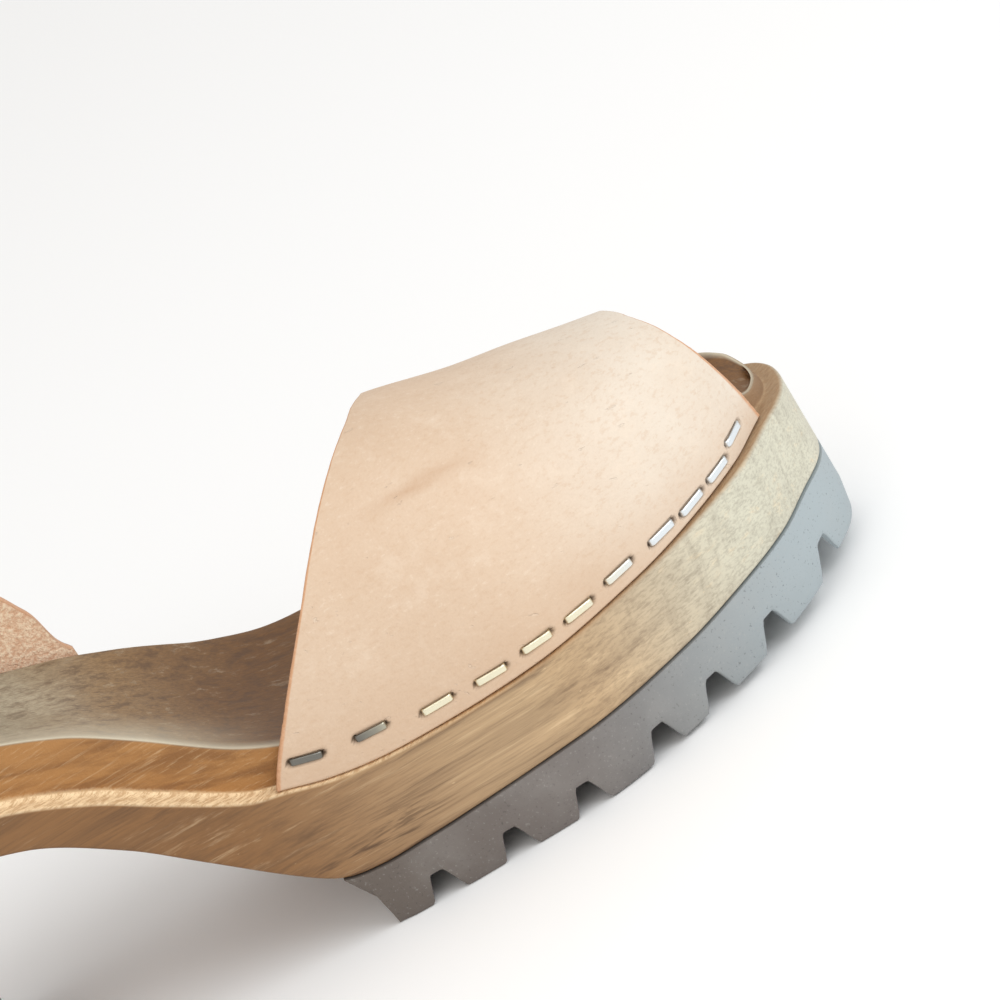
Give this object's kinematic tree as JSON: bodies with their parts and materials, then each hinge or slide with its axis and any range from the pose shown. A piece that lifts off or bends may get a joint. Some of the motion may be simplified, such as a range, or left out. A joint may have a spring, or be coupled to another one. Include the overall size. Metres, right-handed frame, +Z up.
{
  "type": "clog",
  "caption": "Open-toe clog for the right foot: carved wooden sole with a high heel, lugged rubber treads, and a leather vamp and heel piece stapled to the wood.",
  "frame": {"origin": "on the floor under the middle of the shoe's box", "axes": "+X from heel to toe, +Y towards the inner (medial) side, +Z up"},
  "size_m": [0.25, 0.0851, 0.1419],
  "materials": {
    "wood": "sanded and waxed, pale where it was routed",
    "rubber": "moulded, matt grey",
    "vamp_leather": "smooth undyed vegetable-tanned leather",
    "quarter_leather": "smooth outside, raw flesh side inside",
    "staple": "bright flat wire"
  },
  "bodies": {
    "root": {"wood_sole": "wood", "forefoot_outsole": "rubber", "heel_outsole": "rubber", "vamp": "vamp_leather", "heel_quarter": "quarter_leather", "vamp_staple_outer_01": "staple", "vamp_staple_outer_02": "staple", "vamp_staple_outer_03": "staple", "vamp_staple_outer_04": "staple", "vamp_staple_outer_05": "staple", "vamp_staple_outer_06": "staple", "vamp_staple_outer_07": "staple", "vamp_staple_outer_08": "staple", "vamp_staple_outer_09": "staple", "vamp_staple_outer_10": "staple", "vamp_staple_outer_11": "staple", "vamp_staple_inner_01": "staple", "vamp_staple_inner_02": "staple", "vamp_staple_inner_03": "staple", "vamp_staple_inner_04": "staple", "vamp_staple_inner_05": "staple", "vamp_staple_inner_06": "staple", "vamp_staple_inner_07": "staple", "vamp_staple_inner_08": "staple", "vamp_staple_inner_09": "staple", "quarter_staple_01": "staple", "quarter_staple_02": "staple", "quarter_staple_03": "staple", "quarter_staple_04": "staple", "quarter_staple_05": "staple", "quarter_staple_06": "staple", "quarter_staple_07": "staple", "quarter_staple_08": "staple", "quarter_staple_09": "staple", "quarter_staple_10": "staple", "quarter_staple_11": "staple", "quarter_staple_12": "staple"}
  },
  "joints": []
}
